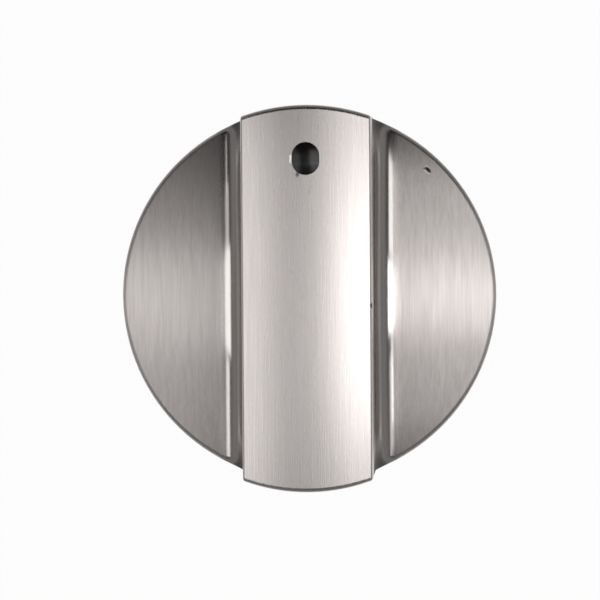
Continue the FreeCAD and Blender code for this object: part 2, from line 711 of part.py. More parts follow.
def make_hub_screws():
    """Two like screws, one through each ear of the flange."""
    body = new_body("upper_screw")
    revolve(body, screw_profile(body))
    rear = f"{FLANGE_REAR} - Sizes.screw_head_height"
    for name, width, height in (("recess_across", "Sizes.recess_span", "Sizes.recess_width"),
                                ("recess_along", "Sizes.recess_width", "Sizes.recess_span")):
        bar = new_sketch(body, name, "XY_Plane", rear)
        rectangle(bar, width, height)
        pocket(body, bar, "Sizes.recess_depth")
    body.setExpression("Placement.Base.y", SCREW_OFFSET)
    lower = doc.addObject("Part::Mirroring", "lower_screw")
    lower.Source = body
    lower.Normal = Vector(0, 1, 0)
    both = doc.addObject("Part::Compound", "hub_screws")
    both.Label = "hub_screws"
    both.Links = [body, lower]
    doc.recompute()
    return both


def dot_cap_outline(body):
    """Section across the dot's domed head."""
    half_width, rise, base_height = (value_of(e) for e in ("Sizes.dot_width / 2", "Sizes.dot_rise",
                                                           "Sizes.knob_height"))
    bend = (half_width ** 2 + rise ** 2) / (2 * rise)
    turn = math.degrees(math.asin(half_width / bend))
    sketch = new_sketch(body, "dot_cap", "XZ_Plane")
    base = line(sketch, (-half_width, base_height), (half_width, base_height))
    cap = arc(sketch, (0, base_height + rise - bend), bend, 90 - turn, 90 + turn)
    join(sketch, base, cap)
    fix(sketch, "Symmetric", base, START, base, END, V_AXIS)
    drive(sketch, "Sizes.dot_width", "DistanceX", base, START, base, END)
    drive(sketch, "Sizes.knob_height", "DistanceY", ORIGIN, START, base, START)
    hold_crest(sketch, cap, "Sizes.knob_height + Sizes.dot_rise")
    return sketch


def dot_end_outline(body, name, lift):
    """Half section of the dot's head, turned to round off one end of the oval."""
    half_width, rise, base_height = (value_of(e) for e in ("Sizes.dot_width / 2", "Sizes.dot_rise",
                                                           "Sizes.knob_height"))
    bend = (half_width ** 2 + rise ** 2) / (2 * rise)
    turn = math.degrees(math.asin(half_width / bend))
    sketch = new_sketch(body, name, "XZ_Plane", lift)
    base = line(sketch, (0, base_height), (half_width, base_height))
    cap = arc(sketch, (0, base_height + rise - bend), bend, 90 - turn, 90)
    axis = line(sketch, (0, base_height + rise), (0, base_height))
    join(sketch, base, cap, axis)
    fix(sketch, "Horizontal", base)
    fix(sketch, "PointOnObject", base, START, V_AXIS)
    fix(sketch, "Vertical", axis)
    fix(sketch, "PointOnObject", cap, CENTRE, V_AXIS)
    drive(sketch, "Sizes.dot_width / 2", "DistanceX", base, START, base, END)
    drive(sketch, "Sizes.knob_height", "DistanceY", ORIGIN, START, base, START)
    drive(sketch, "Sizes.dot_rise", "DistanceY", axis, END, axis, START)
    return sketch


def make_indicator_dot():
    """The black peg: a shoulder behind the bar's roof, an oval shank and a domed oval head."""
    body = new_body("indicator_dot")
    half_stretch = "Sizes.dot_stretch / 2"
    shoulder = new_sketch(body, "dot_shoulder", "XY_Plane", f"{DOT_SEAT} - Sizes.dot_shoulder_thickness")
    stadium(shoulder, "Sizes.dot_width / 2 + Sizes.dot_shoulder", half_stretch)
    pad(body, shoulder, "Sizes.dot_shoulder_thickness")
    shank = new_sketch(body, "dot_shank", "XY_Plane", DOT_SEAT)
    stadium(shank, "Sizes.dot_width / 2", half_stretch)
    pad(body, shank, f"Sizes.knob_height - {DOT_SEAT}")
    pad(body, dot_cap_outline(body), "Sizes.dot_stretch", symmetric=True)
    for name, sign in (("dot_upper_end", "-"), ("dot_lower_end", "")):
        revolve(body, dot_end_outline(body, name, f"{sign}{half_stretch}"))
    body.setExpression("Placement.Base.y", DOT_OFFSET)
    doc.recompute()
    return body


def check(pieces):
    """Stop if any object failed or any piece is not one or more valid solids."""
    for item in doc.Objects:
        if "Invalid" in item.State or "Error" in item.State:
            raise RuntimeError(f"{item.Name} failed: {item.State}")
    for piece in pieces:
        if piece.Shape.isNull() or not piece.Shape.isValid() or not piece.Shape.Solids:
            raise RuntimeError(f"{piece.Label} has no valid shape")


def main():
    """Build every piece, check it and write its file."""
    pieces = [
        make_knob_body(),
        make_shaft_hub(),
        make_hub_spring_clip(),
        make_hub_screws(),
        make_indicator_dot(),
    ]
    check(pieces)
    os.makedirs("parts", exist_ok=True)
    for piece in pieces:
        piece.Shape.exportStep(f"parts/{piece.Label}.step")
        print(piece.Label, len(piece.Shape.Solids), "solids", round(piece.Shape.Volume, 2), "mm3")


main()
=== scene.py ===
import math

import bmesh
import bpy
from bpy.props import FloatProperty, FloatVectorProperty, PointerProperty
from mathutils import Matrix, Vector
from mathutils.geometry import intersect_point_line


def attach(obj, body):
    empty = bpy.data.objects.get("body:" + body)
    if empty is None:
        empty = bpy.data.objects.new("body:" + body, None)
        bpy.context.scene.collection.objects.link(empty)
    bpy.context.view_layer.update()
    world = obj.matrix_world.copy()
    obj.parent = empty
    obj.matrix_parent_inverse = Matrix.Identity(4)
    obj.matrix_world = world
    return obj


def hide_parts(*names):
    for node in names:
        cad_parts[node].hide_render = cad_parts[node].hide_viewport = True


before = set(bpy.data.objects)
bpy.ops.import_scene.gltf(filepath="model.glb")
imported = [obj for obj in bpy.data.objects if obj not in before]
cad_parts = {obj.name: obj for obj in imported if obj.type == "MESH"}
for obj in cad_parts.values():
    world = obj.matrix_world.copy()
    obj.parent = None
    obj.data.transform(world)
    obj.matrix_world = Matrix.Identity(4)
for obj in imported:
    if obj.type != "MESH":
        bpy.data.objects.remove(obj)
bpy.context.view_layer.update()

bl_info = {
    "name": "Oven control knob",
    "version": (1, 0, 0),
    "blender": (4, 5, 0),
    "location": "View3D > Sidebar > Knob",
    "description": "Finishes of a brushed metal oven control knob around its CAD frame",
    "category": "Object",
}

MM = 0.001


# Node trees

# Numbers of the Mix node's colour sockets
MIX_FIRST = 6
MIX_SECOND = 7
MIX_RESULT = 2

# Where a spot's mask begins and is full, in shares of its half size
SPOT_RANGE = (1.0, 0.35)

# Parts of a noise's range that are spread over a mask
CLOUD_RANGE = (0.35, 0.65)
GRAIN_RANGE = (0.3, 0.7)


class Graph:
    """A short way to add nodes to a tree and to link their sockets."""

    def __init__(self, tree):
        self.tree = tree
        self.tree.nodes.clear()

    def add(self, kind, inputs=None, **settings):
        """Add a node, set its properties, and set or link its inputs by name or number."""
        node = self.tree.nodes.new(kind)
        for name, value in settings.items():
            setattr(node, name, value)
        for key, value in (inputs or {}).items():
            if isinstance(value, bpy.types.NodeSocket):
                self.tree.links.new(value, node.inputs[key])
            else:
                node.inputs[key].default_value = value
        return node

    def coords(self):
        """Places in the object's own space."""
        return self.add("ShaderNodeTexCoord").outputs["Object"]

    def split(self, vector):
        """The X, Y and Z parts of a vector."""
        return self.add("ShaderNodeSeparateXYZ", {0: vector}).outputs

    def math(self, operation, *values):
        """Add a Math node and return its result."""
        return self.add("ShaderNodeMath", dict(enumerate(values)), operation=operation).outputs[0]

    def product(self, first, *others):
        """Multiply numbers."""
        for other in others:
            first = self.math("MULTIPLY", first, other)
        return first

    def largest(self, first, *others):
        """Take the largest of some numbers."""
        for other in others:
            first = self.math("MAXIMUM", first, other)
        return first

    def mix(self, factor, first, second):
        """Mix two numbers."""
        return self.math("ADD", self.product(self.math("SUBTRACT", second, first), factor), first)

    def vector(self, operation, *values):
        """Add a Vector Math node and return its result."""
        node = self.add("ShaderNodeVectorMath", dict(enumerate(values)), operation=operation)
        return node.outputs["Value" if operation == "LENGTH" else "Vector"]

    def noise(self, coords, scale, detail, roughness=0.5):
        """Noise with a scale for each axis."""
        node = self.add("ShaderNodeTexNoise", {
            "Vector": self.vector("MULTIPLY", coords, scale), "Scale": 1.0,
            "Detail": detail, "Roughness": roughness})
        return node.outputs[0]

    def ramp(self, value, low, high, to_low=0.0, to_high=1.0):
        """Map a range of a value to another, with soft ends."""
        node = self.add("ShaderNodeMapRange", {0: value, 1: low, 2: high, 3: to_low, 4: to_high},
                        interpolation_type="SMOOTHSTEP")
        return node.outputs[0]

    def spot(self, coords, place, turn, length, width):
        """Mask an oval spot that is seen from the front at a place in plan."""
        plan = self.vector("MULTIPLY", coords, (1.0, 1.0, 0.0))
        oval = self.add("ShaderNodeMapping", {
            "Vector": plan, "Location": (*place, 0.0), "Rotation": (0.0, 0.0, turn),
            "Scale": (length / 2, width / 2, 1.0)}, vector_type="TEXTURE")
        return self.ramp(self.vector("LENGTH", oval.outputs[0]), *SPOT_RANGE)

    def relief(self, height, strength, depth):
        """Normal of a surface with a height laid on it."""
        node = self.add("ShaderNodeBump", {"Strength": strength, "Distance": depth, "Height": height})
        return node.outputs[0]

    def blend(self, factor, *tones):
        """Mix two colours."""
        first, second = (tone if isinstance(tone, bpy.types.NodeSocket) else (*tone, 1.0) for tone in tones)
        inputs = {"Factor": factor, MIX_FIRST: first, MIX_SECOND: second}
        return self.add("ShaderNodeMix", inputs, data_type="RGBA").outputs[MIX_RESULT]

    def moved(self, mesh, height):
        """Lift a mesh along Z."""
        lift = self.add("ShaderNodeCombineXYZ", {"Z": height})
        return self.add("GeometryNodeTransform", {0: mesh, "Translation": lift.outputs[0]}).outputs[0]


def new_material(name):
    """Start a node material and return it with its graph."""
    material = bpy.data.materials.new(name)
    material.use_nodes = True
    return material, Graph(material.node_tree)


def finish_material(graph, shader):
    """Link a shader to the material's output."""
    graph.add("ShaderNodeOutputMaterial", {"Surface": shader.outputs[0]})


def mottled(name, tones, cloud_scale, cloud_detail, grain_scale, grain_detail, roughness,
            grain_roughness=0.5, relief_strength=0.0, relief_depth=0.0, metallic=0.0):
    """Material with clouds of two tones and a grain in its roughness, which may also stand in relief."""
    material, graph = new_material(name)
    coords = graph.coords()
    grain = graph.noise(coords, grain_scale, grain_detail, grain_roughness)
    cloud = graph.noise(coords, cloud_scale, cloud_detail)
    inputs = {
        "Base Color": graph.blend(graph.ramp(cloud, *CLOUD_RANGE), *tones),
        "Metallic": metallic,
        "Roughness": graph.ramp(grain, *GRAIN_RANGE, *roughness),
    }
    if relief_strength:
        inputs["Normal"] = graph.relief(grain, relief_strength, relief_depth)
    finish_material(graph, graph.add("ShaderNodeBsdfPrincipled", inputs))
    return material


# Settings


def length_property(name, description, default):
    """A length in metres."""
    return FloatProperty(name=name, description=description, default=default, unit="LENGTH", precision=5)


def angle_property(name, description, default):
    """An angle, given in degrees."""
    return FloatProperty(name=name, description=description, default=math.radians(default), subtype="ANGLE")


def place_property(name, description, default):
    """A place in plan."""
    return FloatVectorProperty(name=name, description=description, default=default, size=2,
                               unit="LENGTH", precision=5)


def colour_property(name, description, default):
    """A linear colour."""
    return FloatVectorProperty(name=name, description=description, default=default, subtype="COLOR",
                               min=0, max=1)


def number_property(name, description, default):
    """A plain number."""
    return FloatProperty(name=name, description=description, default=default)


class KnobFinish(bpy.types.PropertyGroup):
    """Colours and grain of the knob's pieces."""

    metal: colour_property("Metal", "Satin plate of the casting", (0.72, 0.672, 0.652))
    metal_dark: colour_property("Metal, dark", "Plate in the deeper brush lines", (0.67, 0.626, 0.606))
    wing_dark: colour_property("Wing, dark", "Plate in the wings' deeper brush lines", (0.60, 0.556, 0.536))
    roughness: number_property("Roughness", "Mean roughness of the bar's crown", 0.28)
    foot_roughness: number_property("Foot roughness", "Roughness of the smoother flanks and their feet", 0.13)
    wing_roughness: number_property("Wing roughness", "Mean roughness of the wings", 0.36)
    anisotropy: number_property("Anisotropy", "How far the brushing draws out a highlight", 0.8)
    streak_width: length_property("Streak width", "Width of a fine brush line", 0.12 * MM)
    streak_length: length_property("Streak length", "Length of a fine brush line", 7 * MM)
    # Unbrushed plate of the upright sides, set darker than the metal as painted shade on the skirt and the
    # bar's ends
    plate: colour_property("Plate", "Unbrushed plate of the upright sides", (0.46, 0.44, 0.43))
    cast: colour_property("Cast metal", "Unbrushed inside of the casting", (0.42, 0.41, 0.40))
    cast_dark: colour_property("Cast metal, dark", "Flow marks inside the casting", (0.32, 0.31, 0.30))
    dot: colour_property("Dot", "Gloss black of the indicator dot", (0.008, 0.0065, 0.006))
    nylon: colour_property("Nylon", "Black moulded hub", (0.025, 0.025, 0.027))
    nylon_pale: colour_property("Nylon, pale", "Flow clouds in the hub", (0.034, 0.034, 0.036))
    spring: colour_property("Spring steel", "Blued spring clip", (0.26, 0.28, 0.34))
    spring_straw: colour_property("Spring steel, straw", "Straw tint in the blued clip", (0.38, 0.34, 0.29))
    screw: colour_property("Screw", "Bright zinc plate", (0.66, 0.66, 0.65))
    screw_film: colour_property("Screw film", "Passivated film on the plate", (0.58, 0.60, 0.63))


class KnobWear(bpy.types.PropertyGroup):
    """Marks of use on the casting, placed in plan, and the dark colour that also paints shade into the feet's
    corners.
    """

    nick_place: place_property("Nick", "Dent in the right wing", (13.93 * MM, 14.57 * MM))
    nick_turn: angle_property("Nick turn", "Direction of the dent", -43)
    nick_length: length_property("Nick length", "Length of the dent", 0.95 * MM)
    nick_width: length_property("Nick width", "Width of the dent", 0.3 * MM)
    nick_depth: length_property("Nick depth", "Depth of the dent", 0.05 * MM)
    edge_place: place_property("Edge mark", "Dark knock on the bar's right edge", (7.24 * MM, -0.8 * MM))
    # A dark spot below and left of the dot, laid on the metal by the dark mask
    dot_dark_spot_place: place_property("Smear", "Dark residue beside the dot", (-0.9 * MM, 13.86 * MM))
    # Dark colour of the marks, also used for the painted shade in the feet's corners
    grime_and_shade: colour_property("Grime", "Dirt held in the marks", (0.035, 0.032, 0.03))


class KnobScrew(bpy.types.PropertyGroup):
    """Sizes of the hub's two screws."""

    ear_offset: length_property("Ear offset", "From the spindle axis to a screw's axis", 10 * MM)
    seat_height: length_property("Seat height", "Flange face that the heads bear on", 7 * MM)
    length: length_property("Length", "Under the head", 10 * MM)
    shank_radius: length_property("Shank radius", "Over the thread", 1.2 * MM)
    thread_depth: length_property("Thread depth", "Height of the thread's ridge", 0.2 * MM)
    thread_pitch: length_property("Thread pitch", "Between two turns of the thread", 0.8 * MM)
    point_length: length_property("Point length", "Tapered end", 1.2 * MM)
    head_radius: length_property("Head radius", "Outside of the pan head", 2.6 * MM)
    head_height: length_property("Head height", "From the seat to the head's face", 1.8 * MM)
    head_round: length_property("Head rounding", "Radius of the pan's edge", 1 * MM)
    recess_span: length_property("Recess span", "Across the cross recess", 2.8 * MM)
    recess_width: length_property("Recess width", "Width of each arm of the cross", 0.7 * MM)
    recess_depth: length_property("Recess depth", "Depth of the cross", 1 * MM)


class KnobStage(bpy.types.PropertyGroup):
    """Camera and floor."""

    distance: length_property("Distance", "From the aim point to the camera", 307.39 * MM)
    tilt: angle_property("Tilt", "Camera's lean towards the dot", 1.708)
    yaw: angle_property("Yaw", "Camera's lean to the right", 1.225)
    roll: angle_property("Roll", "Turn of the picture", 0.391)
    lens: number_property("Lens", "Focal length in millimetres on a 36 mm sensor", 159.08)
    floor: colour_property("Floor", "Pale floor", (0.9, 0.9, 0.9))


# Stage

# Camera: the knob's middle, how far beside it the picture is centred, the sensor in mm and the near limit
AIM_POINT = Vector((0, 0, 12 * MM))
FRAME_SHIFT = Vector((-1.032 * MM, -0.503 * MM, 0))
SENSOR_WIDTH = 36
CLIP_START = 10 * MM

# Lamps: name, degrees across and along the bar, spans of these angles in degrees, distance and radiance
LAMPS = (
    ("right_key", 29, -2, 32, 11.5, 0.30, 2.75),
    ("right_upper", 26, 13.25, 26, 16.5, 0.30, 1.45),
    ("right_lower", 29, -20, 22, 17, 0.30, 0.7),
    ("right_strip", 25, -16, 10, 15, 0.30, 1.25),
    ("left_key", -34.5, -2.5, 35, 17, 0.30, 1.3),
    ("left_upper", -35, 11, 20, 10.5, 0.30, 0.65),
    ("left_strip", -34, 20, 5, 9, 0.30, 1),
    ("left_lower", -33, -21, 19, 18, 0.30, 1.1),
    ("overhead", 3.5, -3.5, 24, 17, 0.42, 0.36),
)

# Floor: its half size, its drop below the rear rim, and how white it shows in a painted pool of light round
# the knob and where that pool falls off
FLOOR_HALF = 3.0
FLOOR_DROP = 0.02 * MM
WHITE_SHARE = 0.97
POOL_EDGE = 54 * MM
POOL_END = 66 * MM
WHITE_RAYS = ("Is Camera Ray", "Is Glossy Ray", "Is Transmission Ray")

# World: tones low and high behind the camera and round the sides, and the directions where they change
LOW_TONE = (0.11, 0.11, 0.11)
HIGH_TONE = (0.015, 0.015, 0.015)
SIDE_TONE = (0.21, 0.21, 0.21)
HIGH_RANGE = (-0.5, 0.5)
SIDE_RANGE = (0.7, 0.4)


def add_object(name, data):
    """Make an object in the scene."""
    obj = bpy.data.objects.new(name, data)
    bpy.context.scene.collection.objects.link(obj)
    return obj


def aim(obj, target, up=(0, 1, 0)):
    """Turn an object so that its -Z axis points at a target, with its Y axis near a direction."""
    back = (obj.location - target).normalized()
    right = Vector(up).cross(back).normalized()
    turn = Matrix((right, back.cross(right), back)).transposed()
    obj.matrix_world = Matrix.Translation(obj.location) @ turn.to_4x4()


def direction(across, along):
    """Direction that leans from the spindle axis by an angle across the bar and one along it."""
    return Vector((math.sin(across) * math.cos(along), math.sin(along), math.cos(across) * math.cos(along)))


def make_camera(stage):
    """Set the camera where the photograph was taken from."""
    camera = add_object("camera", bpy.data.cameras.new("camera"))
    camera.location = AIM_POINT + stage.distance * direction(stage.yaw, stage.tilt)
    camera.data.lens = stage.lens
    camera.data.sensor_width = SENSOR_WIDTH
    camera.data.clip_start = CLIP_START
    aim(camera, AIM_POINT + FRAME_SHIFT, (math.sin(stage.roll), math.cos(stage.roll), 0))
    bpy.context.scene.camera = camera


def make_softbox(name, across, along, width, height, distance, radiance):
    """Add a rectangular lamp that faces the knob, placed and sized by angles at the knob's middle."""
    lamp = bpy.data.lights.new(name, "AREA")
    lamp.shape = "RECTANGLE"
    lamp.size = 2 * distance * math.tan(math.radians(width / 2))
    lamp.size_y = 2 * distance * math.tan(math.radians(height / 2))
    lamp.energy = radiance * math.pi * lamp.size * lamp.size_y
    box = add_object(name, lamp)
    box.location = AIM_POINT + distance * direction(math.radians(across), math.radians(along))
    aim(box, AIM_POINT)


def make_floor(stage):
    """Add a wide pale floor with a painted pool of white light round the knob, with a faint shadow, which
    falls off beyond.
    """
    mesh = bpy.data.meshes.new("floor")
    corners = [(FLOOR_HALF * x, FLOOR_HALF * y, 0) for x, y in ((-1, -1), (1, -1), (1, 1), (-1, 1))]
    mesh.from_pydata(corners, [], [(0, 1, 2, 3)])
    floor = add_object("floor", mesh)
    floor.location.z = -FLOOR_DROP
    material, graph = new_material("pale_floor")
    matte = graph.add("ShaderNodeBsdfDiffuse", {"Color": (*stage.floor, 1)})
    glow = graph.add("ShaderNodeEmission", {"Strength": 1.0})
    path = graph.add("ShaderNodeLightPath")
    seen = graph.largest(*(path.outputs[name] for name in WHITE_RAYS))
    plan = graph.vector("LENGTH", graph.coords())
    # Painted pool of light: the floor glows white near the knob and fades to its lamp-lit colour further out
    share = graph.product(seen, graph.ramp(plan, POOL_EDGE, POOL_END, WHITE_SHARE, 0.0))
    shader = graph.add("ShaderNodeMixShader", {0: share, 1: matte.outputs[0], 2: glow.outputs[0]})
    finish_material(graph, shader)
    mesh.materials.append(material)


def make_world():
    """Studio that is dim behind the camera, most of all on the dot's side, and lighter round the sides."""
    world = bpy.data.worlds.new("studio")
    world.use_nodes = True
    graph = Graph(world.node_tree)
    _, high, back = graph.split(graph.add("ShaderNodeTexCoord").outputs["Generated"])
    tone = graph.blend(graph.ramp(high, *HIGH_RANGE), LOW_TONE, HIGH_TONE)
    tone = graph.blend(graph.ramp(back, *SIDE_RANGE), tone, SIDE_TONE)
    dim = graph.add("ShaderNodeBackground", {"Color": tone, "Strength": 1.0})
    graph.add("ShaderNodeOutputWorld", {"Surface": dim.outputs[0]})
    bpy.context.scene.world = world


class KNOB_OT_stage(bpy.types.Operator):
    """Set up the camera, lamps, world and floor"""

    bl_idname = "knob.stage"
    bl_label = "Stage"

    def execute(self, context):
        stage = context.scene.knob_stage
        make_camera(stage)
        make_floor(stage)
        make_world()
        for lamp in LAMPS:
            make_softbox(*lamp)
        context.scene.view_settings.view_transform = "Standard"
        return {"FINISHED"}


# Shape of the casting

# Surfaces of the casting, as the CAD has them
DOME_RADIUS = 100 * MM
DOME_CENTRE = Vector((0, 0, 12 * MM - DOME_RADIUS))
CROWN_HEIGHT = 25 * MM
CROWN_RADIUS = 30 * MM
BAR_HALF = 7.25 * MM
FLANK_LEAN = math.radians(88)
FOOT_FILLET = 2.5 * MM
EDGE_FILLET = 0.35 * MM
RIM_RADIUS = 22 * MM
SKIRT_LEAN = math.radians(89)
SHOULDER_START = 21.3 * MM
SHOULDER_RADIUS = 0.8 * MM
SHOULDER_LEAN = math.radians(42)

# Dish round the dot's hole: how far from the dot and below the crown it lies, and the knock on its left
DOT_PLACE = Vector((0, 15.6 * MM, 0))
DISH_REACH = 2.4 * MM
DISH_DROP = 0.3 * MM
KNOCK_SIDE = -1.52 * MM
KNOCK_HALF = 0.45 * MM
KNOCK_WIDTH = 0.14 * MM
KNOCK_DEPTH = 0.03 * MM

# Mesh: merging, the sharpest soft edge, a fit on a surface and the least cosine that faces the same way
MERGE_GAP = 0.0001 * MM
SHARP_ANGLE = math.radians(40)
FIT = 0.004 * MM
FACING = 0.5

# Nick: its meshing, and its section in shares of its width and depth
NICK_PASSES = 9
NICK_STEP = 0.05 * MM
SLOPE_STEP = 0.005 * MM
NICK_END_POWER = 4
GROOVE_FALL = 2.2
BURR_FALL = 2.6
BURR_OFFSET = 0.85
BURR_HEIGHT = 0.55


def merged_copy(node):
    """Copy a CAD node's mesh with its loose triangles joined and its exact normals kept on a layer."""
    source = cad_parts[node].data
    normals = [corner.vector.copy() for corner in source.corner_normals]
    form = bmesh.new()
    form.from_mesh(source)
    form.faces.ensure_lookup_table()
    exact = form.loops.layers.float_vector.new("exact_normal")
    for polygon in source.polygons:
        for corner, loop in zip(polygon.loop_indices, form.faces[polygon.index].loops):
            loop[exact] = normals[corner]
    bmesh.ops.remove_doubles(form, verts=form.verts, dist=MERGE_GAP)
    return form, exact


def crown_rank(face):
    """How high a face lies, less its distance from the bar's middle."""
    middle = face.calc_center_median()
    return middle.z - abs(middle.y)


def outside_faces(form):
    """Collect the faces that join the crown without a sharp edge: the casting's whole front and skirt."""
    crown = max(form.faces, key=crown_rank)
    found, todo = {crown}, [crown]
    while todo:
        face = todo.pop()
        for edge in face.edges:
            if not edge.is_manifold or edge.calc_face_angle() > SHARP_ANGLE:
                continue
            for other in edge.link_faces:
                if other not in found:
                    found.add(other)
                    todo.append(other)
    return found


def leaning(lean):
    """Direction in a profile's plane that leans out from upright."""
    return Vector((math.sin(lean), math.cos(lean)))


def arc(centre, radius):
    """An arc of a profile, which tells how far a point is off it and which way it faces there."""
    return lambda point: ((point - centre).length - radius, (point - centre).normalized())


def line(start, lean):
    """A straight stretch of a profile, which tells how far a point is off it and which way it faces."""
    return lambda point: (leaning(lean).dot(point - start), leaning(lean))


def rim_profile():
    """Profile that is turned about the spindle axis: dome, shoulder, bevel, rounded rim and skirt."""
    dome = Vector((0, DOME_CENTRE.z))
    lean = math.asin(SHOULDER_START / DOME_RADIUS)
    shoulder = dome + leaning(lean) * (DOME_RADIUS - SHOULDER_RADIUS)
    bevel = shoulder + leaning(SHOULDER_LEAN) * SHOULDER_RADIUS
    foot = Vector((RIM_RADIUS, 0))
    sides = Matrix((leaning(SHOULDER_LEAN), leaning(SKIRT_LEAN)))
    insets = Vector((sides[0].dot(bevel) - EDGE_FILLET, sides[1].dot(foot) - EDGE_FILLET))
    rim = sides.inverted() @ insets
    return (arc(dome, DOME_RADIUS), arc(shoulder, SHOULDER_RADIUS), line(bevel, SHOULDER_LEAN),
            arc(rim, EDGE_FILLET), line(foot, SKIRT_LEAN))


def bar_profile():
    """Profile that runs along the bar, crown, rounded edge and flank, and how far out the flank lies."""
    crown = Vector((0, CROWN_HEIGHT - CROWN_RADIUS))
    edge = crown + Vector((BAR_HALF, math.sqrt(CROWN_RADIUS ** 2 - BAR_HALF ** 2)))
    flank = leaning(FLANK_LEAN)
    inset = flank.dot(edge - crown) - EDGE_FILLET
    rise = math.sqrt((CROWN_RADIUS - EDGE_FILLET) ** 2 - inset ** 2)
    bend = crown + flank * inset + Vector((-flank.y, flank.x)) * rise
    return (arc(crown, CROWN_RADIUS), arc(bend, EDGE_FILLET), line(edge, FLANK_LEAN)), flank.dot(edge)


def turned(probe):
    """A surface turned about the spindle axis from a profile."""
    def look(point):
        out = point.xy.normalized()
        off, facing = probe(Vector((point.xy.length, point.z)))
        return off, Vector((*(out * facing.x), facing.y))
    return look


def drawn(probe):
    """A surface drawn along the bar from a profile, alike on both sides."""
    def look(point):
        off, facing = probe(Vector((abs(point.x), point.z)))
        return off, Vector((math.copysign(facing.x, point.x), 0, facing.y))
    return look


def hollow_foot(distance):
    """The hollow foot of a flank, as a ball leaves it that rolls between the flank and the dome."""
    side = Vector((math.sin(FLANK_LEAN), 0, math.cos(FLANK_LEAN)))
    middle = DOME_CENTRE + side * (distance + FOOT_FILLET - side.dot(DOME_CENTRE))
    track = math.sqrt((DOME_RADIUS + FOOT_FILLET) ** 2 - (middle - DOME_CENTRE).length_squared)

    def look(point):
        mirror = Vector((math.copysign(1, point.x), 1, 1))
        seen = point * mirror - middle
        ball = middle + (seen - side * seen.dot(side)).normalized() * track
        spoke = ball - point * mirror
        return spoke.length - FOOT_FILLET, spoke.normalized() * mirror
    return look


def close_dish(form, exact):
    """Close the dish round the dot's hole, save for a knock on its left side, which is made larger."""
    crown = drawn(bar_profile()[0][0])
    for vert in form.verts:
        beside = vert.co - DOT_PLACE
        if beside.xy.length > DISH_REACH or vert.co.z < CROWN_HEIGHT - DISH_DROP:
            continue
        off, facing = crown(vert.co)
        knocked = vert.co.x < KNOCK_SIDE and abs(beside.y) < KNOCK_HALF
        if knocked and off < -FIT:
            vert.co -= facing * KNOCK_DEPTH
        elif knocked:
            vert.co.x -= KNOCK_WIDTH
            vert.co -= facing * crown(vert.co)[0]
        elif off < -FIT:
            vert.co -= facing * off
            for loop in vert.link_loops:
                if loop.face.normal.z > FACING:
                    loop[exact] = facing
    form.normal_update()


def true_up(faces, exact):
    """Give each triangle on one of the casting's simple surfaces the exact normals of that surface."""
    profile, distance = bar_profile()
    surfaces = [turned(probe) for probe in rim_profile()]
    surfaces += [drawn(probe) for probe in profile]
    surfaces.append(hollow_foot(distance))
    for face in faces:
        for look in surfaces:
            found = [look(loop.vert.co) for loop in face.loops]
            if all(abs(off) < FIT for off, _ in found) and face.normal.dot(found[0][1]) > FACING:
                for loop, (_, facing) in zip(face.loops, found):
                    loop[exact] = facing
                break


def dome_normal(point):
    """Normal of the wings' dome at a point."""
    return (point - DOME_CENTRE).normalized()


def refine_dome(form, exact, spot, reach):
    """Split the dome's triangles within reach of a spot until their edges are short, with a vertex there."""
    around = [face for face in form.faces
              if face.normal.z > FACING and bmesh.geometry.intersect_face_point(face, spot)]
    hit = min(around, key=lambda face: abs(face.calc_center_median().z - spot.z))
    bmesh.ops.poke(form, faces=[hit])["verts"][0].co = spot
    for _ in range(NICK_PASSES):
        coarse = []
        for edge in form.edges:
            start, end = (vert.co for vert in edge.verts)
            share = intersect_point_line(spot, start, end)[1]
            nearest = start.lerp(end, min(1, max(0, share)))
            if (nearest - spot).length < reach and edge.calc_length() > NICK_STEP:
                coarse.append(edge)
        for edge in sorted(coarse, key=lambda edge: edge.calc_length(), reverse=True):
            middle = bmesh.utils.edge_split(edge, edge.verts[0], 0.5)[1]
            for loop in list(middle.link_loops):
                loop[exact] = dome_normal(middle.co)
                bmesh.utils.face_split(loop.face, middle, loop.link_loop_next.link_loop_next.vert)


def dent_height(wear, along, across):
    """Height of the nicked surface above the dome: a groove with a burr thrown up on one side."""
    ends = max(0.0, 1 - (2 * along / wear.nick_length) ** NICK_END_POWER)
    aside = across / wear.nick_width
    groove = math.exp(-(GROOVE_FALL * aside) ** 2)
    burr = math.exp(-(BURR_FALL * (aside + BURR_OFFSET)) ** 2)
    return wear.nick_depth * ends * (BURR_HEIGHT * burr - groove)


def press_nick(form, exact, wear):
    """Press the nick into the right wing."""
    spot = Vector((*wear.nick_place, 0))
    spot.z = DOME_CENTRE.z + math.sqrt(DOME_RADIUS ** 2 - spot.x ** 2 - spot.y ** 2)
    reach = wear.nick_length
    refine_dome(form, exact, spot, reach)
    run = Vector((math.cos(wear.nick_turn), math.sin(wear.nick_turn), 0))
    side = Vector((-run.y, run.x, 0))
    for vert in form.verts:
        offset = vert.co - spot
        if offset.length > reach:
            continue
        up = dome_normal(vert.co)
        along, across = offset.dot(run), offset.dot(side)
        height = dent_height(wear, along, across)
        lean = run * (dent_height(wear, along + SLOPE_STEP, across) - height) / SLOPE_STEP
        lean += side * (dent_height(wear, along, across + SLOPE_STEP) - height) / SLOPE_STEP
        vert.co += up * height
        for loop in vert.link_loops:
            loop[exact] = (up - lean).normalized()


def finish_mesh(form, exact, name):
    """Turn a form into a mesh that shades by its exact normals."""
    mesh = bpy.data.meshes.new(name)
    form.to_mesh(mesh)
    normals = [tuple(loop[exact]) for face in form.faces for loop in face.loops]
    form.free()
    for polygon in mesh.polygons:
        polygon.use_smooth = True
    mesh.normals_split_custom_set(normals)
    mesh.attributes.remove(mesh.attributes["exact_normal"])
    return mesh


def place_piece(name, mesh, node, materials):
    """Show a finished mesh in place of its CAD node."""
    piece = add_object(name, mesh)
    for material in materials:
        mesh.materials.append(material)
    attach(piece, "root")
    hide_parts(node)


